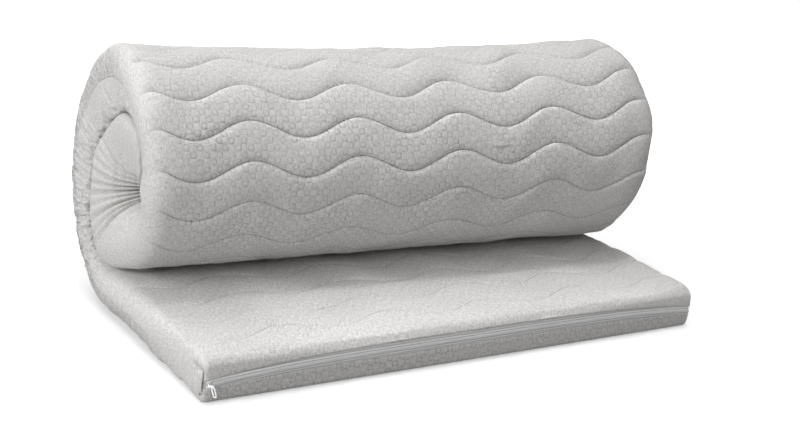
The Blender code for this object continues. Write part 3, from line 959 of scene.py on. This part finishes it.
# height and size of a coil's sections
COIL_SECTIONS = ((-0.0018, 0.4), (-0.0014, 0.9), (0.0, 1.0), (0.0020, 0.9), (0.0026, 0.4))


def turns(sides):
    return [2 * pi * k / sides for k in range(sides)]


def chain():
    """A thin core along the zip, and the closed coils, which reach up and down in turn."""
    patch = Patch()
    span = CHAIN_END - CHAIN_START
    sections = []
    for k in range(CHAIN_STEPS + 1):
        x = CHAIN_START + span * k / CHAIN_STEPS
        ring = []
        for j, turn in enumerate(turns(CORE_SIDES)):
            out, z = CORE_OUT + CORE_THICK * cos(turn), zip_height(x) + CORE_TALL * sin(turn)
            ring.append((on_edge(x, out, z), j * 0.001))
        sections.append((x, ring))
    patch.strip(sections)
    for k in range(int(span / COIL_PITCH)):
        x = CHAIN_START + COIL_PITCH * (k + 0.5)
        way = 1 if k % 2 else -1
        sections = []
        for z, size in COIL_SECTIONS:
            ring = []
            for j, turn in enumerate(turns(COIL_SIDES)):
                along, out = COIL_WIDE * size * cos(turn), COIL_OUT + COIL_THICK * size * sin(turn)
                ring.append((on_edge(x + along, out, zip_height(x) + way * z), j * 0.0006))
            sections.append((z, ring))
        patch.strip(sections)
    return patch


def rounded(width, height, taper=0.0, count=24, power=3.2):
    """A rounded rectangle in (x, z) that narrows upwards by the taper."""
    found = []
    for turn in turns(count):
        c, s = cos(turn), sin(turn)
        x = abs(c) ** (2 / power) * (1 if c > 0 else -1) * width / 2
        z = abs(s) ** (2 / power) * (1 if s > 0 else -1) * height / 2
        found.append((x * (1 - taper * z / height), z))
    return found


def shrink(points, by):
    centre = np.mean(points, axis=0)
    off = points - centre
    return centre + off * (1 - by / np.linalg.norm(off, axis=1).max())


def plate(patch, outline, hole, near, far, centre, rim, tilt=0.0):
    """A flat ring parallel to the edge, from near to far, with softened rims."""
    def ring(points, out):
        found = []
        for x, z in points:
            u, w = x * cos(tilt) - z * sin(tilt), x * sin(tilt) + z * cos(tilt)
            found.append(on_edge(centre[0] + u, out, centre[1] + w))
        return found

    inner, wider = shrink(outline, rim * 1.6), shrink(hole, -rim)
    rings = [ring(hole, near + rim), ring(hole, far - rim), ring(wider, far), ring(inner, far),
             ring(outline, far - rim), ring(outline, near + rim), ring(inner, near), ring(wider, near)]
    vs = (0.0, 0.001, 0.002, 0.003, 0.004, 0.006, 0.007, 0.008, 0.009)
    patch.looped([x for x, _ in outline], vs, rings)


SLIDER_X, SLIDER_WIDE, SLIDER_TALL = -0.4370, 0.0100, 0.0086
SLIDER_NEAR, SLIDER_FAR, SLIDER_RIM, SLIDER_HOLE = 0.0018, 0.0050, 0.0008, (0.48, 0.50)
BRIDGE_STEPS, BRIDGE_REACH, BRIDGE_OUT, BRIDGE_RISE = 8, 0.0036, 0.0049, 0.0034
BRIDGE_HALF, BRIDGE_THICK = 0.0012, 0.0007
PULL_WIDE, PULL_LONG, PULL_TAPER = 0.0058, 0.0230, 0.12
PULL_NEAR, PULL_FAR, PULL_RIM, PULL_HOLE = 0.0058, 0.0070, 0.0003, (0.34, 0.62)
PULL_TILT, PULL_ON_BRIDGE, HOLE_DOWN = radians(20), 0.0020, 0.0018


def slider():
    """The slider's plate with its hole, and the bridge that holds the pull."""
    patch = Patch()
    middle = zip_height(SLIDER_X)
    body = rounded(SLIDER_WIDE, SLIDER_TALL)
    hole = [(x * SLIDER_HOLE[0], z * SLIDER_HOLE[1]) for x, z in body]
    plate(patch, body, hole, SLIDER_NEAR, SLIDER_FAR, (SLIDER_X, middle), SLIDER_RIM)
    sections = []
    for k in range(BRIDGE_STEPS + 1):
        turn = pi * k / BRIDGE_STEPS
        x, out = SLIDER_X - BRIDGE_REACH * cos(turn), BRIDGE_OUT + BRIDGE_RISE * sin(turn) ** 0.7
        ring = []
        for way, thick in ((-1, 0.0), (1, 0.0), (1, BRIDGE_THICK), (-1, BRIDGE_THICK)):
            z = way * BRIDGE_HALF
            ring.append((on_edge(x, out - thick, middle + z), z))
        sections.append((k * 0.001, ring))
    patch.strip(sections)
    return patch


def pull():
    """The looped pull, which hangs askew from the bridge."""
    patch = Patch()
    swing = PULL_LONG / 2 - PULL_ON_BRIDGE
    centre = (SLIDER_X + swing * sin(PULL_TILT), zip_height(SLIDER_X) - swing * cos(PULL_TILT))
    outline = rounded(PULL_WIDE, PULL_LONG, PULL_TAPER, 32, 3.5)
    hole = [(x * PULL_HOLE[0], z * PULL_HOLE[1] - HOLE_DOWN) for x, z in outline]
    plate(patch, outline, hole, PULL_NEAR, PULL_FAR, centre, PULL_RIM, PULL_TILT)
    return patch


# ------------ the object
cover = Cover()
TAPE, METAL = tape_material(), metal_material()
topper = add_piece("cover", cover.mesh(), knit_material(cover.whole), ["topper"])
tape(1).build("tape_upper", TAPE, "zip_tape", "zip_tape_upper")
tape(-1).build("tape_lower", TAPE, "zip_tape", "zip_tape_lower")
chain().build("coil", nylon_material(), "zip_chain", "zip_chain")
slider().build("slider", METAL, "zip_metal", "zip_slider")
pull().build("pull", METAL, "zip_metal", "zip_pull")


# ------------ stage, light and camera
def floor_material():
    """Paper that brightens outwards, and throws little light back on the topper."""
    s = Shader("floor", {"Roughness": 1.0, "Base Color": (0.60, 0.60, 0.60, 1.0),
                         "Specular IOR Level": 0.0, "Emission Color": (1.0, 1.0, 1.0, 1.0)})
    where = s.tree.nodes.new("ShaderNodeNewGeometry")
    far = s.tree.nodes.new("ShaderNodeVectorMath")
    far.operation = "LENGTH"
    s.join(where.outputs["Position"], far.inputs[0])
    fade = s.tree.nodes.new("ShaderNodeMapRange")
    for name, value in (("From Min", 0.45), ("From Max", 1.0), ("To Min", 0.45), ("To Max", 0.95)):
        fade.inputs[name].default_value = value
    s.join(far.outputs["Value"], fade.inputs["Value"])
    s.join(fade.outputs["Result"], s.surface.inputs["Emission Strength"])
    dull = s.tree.nodes.new("ShaderNodeBsdfDiffuse")
    dull.inputs["Color"].default_value = (0.38, 0.38, 0.38, 1.0)
    rays = s.tree.nodes.new("ShaderNodeLightPath")
    seen = s.tree.nodes.new("ShaderNodeMixShader")
    shown = s.math("MAXIMUM", rays.outputs["Is Camera Ray"], rays.outputs["Is Glossy Ray"])
    s.join(shown, seen.inputs[0])
    s.join(dull.outputs[0], seen.inputs[1])
    s.join(s.surface.outputs[0], seen.inputs[2])
    s.join(seen.outputs[0], s.tree.nodes["Material Output"].inputs["Surface"])
    return s.material


def area_light(name, size, power, place_at, aim=(0, 0, 0.1)):
    lamp = bpy.data.lights.new(name, "AREA")
    lamp.shape = "SQUARE"
    lamp.size = size
    lamp.energy = power
    thing = put(name, lamp, place_at)
    thing.rotation_euler = (Vector(aim) - Vector(place_at)).to_track_quat("-Z", "Y").to_euler()
    return lamp


FLOOR_DROP = 0.0005    # the floor lies just under the topper
floor_mesh = bpy.data.meshes.new("floor")
floor_mesh.from_pydata([(-9, -9, 0), (9, -9, 0), (9, 9, 0), (-9, 9, 0)], [], [(0, 1, 2, 3)])
floor_mesh.materials.append(floor_material())
floor = put("floor", floor_mesh, (0, 0, -FLOOR_DROP))

world = bpy.data.worlds.new("studio")
world.use_nodes = True
background = world.node_tree.nodes["Background"]
background.inputs["Color"].default_value = (1.0, 1.0, 1.0, 1.0)
background.inputs["Strength"].default_value = 0.09
bpy.context.scene.world = world

area_light("overhead", 3.0, 37, (-0.2, 0.0, 3.0))
area_light("key", 1.6, 49, (-2.8, -0.6, 1.1))
area_light("front", 1.6, 20, (-0.3, -2.8, 2.2))
area_light("back", 1.6, 42, (-0.6, 1.8, 2.6))
# a narrow beam straight down on the flat end
strip = area_light("strip", 1.25, 0.46, (0.20, -0.20, 2.2), (0.20, -0.199, 0.0))
strip.shape, strip.size_y = "RECTANGLE", 0.20
strip.spread = radians(15)

lens = bpy.data.cameras.new("camera")
lens.lens = 76.365
lens.sensor_width = 36.0
lens.sensor_fit = "HORIZONTAL"
camera = put("camera", lens, ORIGIN + Vector((-1.3311, -2.2284, 1.0269)))
camera.rotation_euler = [radians(angle) for angle in (70.650855, -7.213148, -29.605366)]
bpy.context.scene.camera = camera
bpy.context.scene.view_settings.view_transform = "Standard"
bpy.context.scene.view_settings.exposure = 0.0
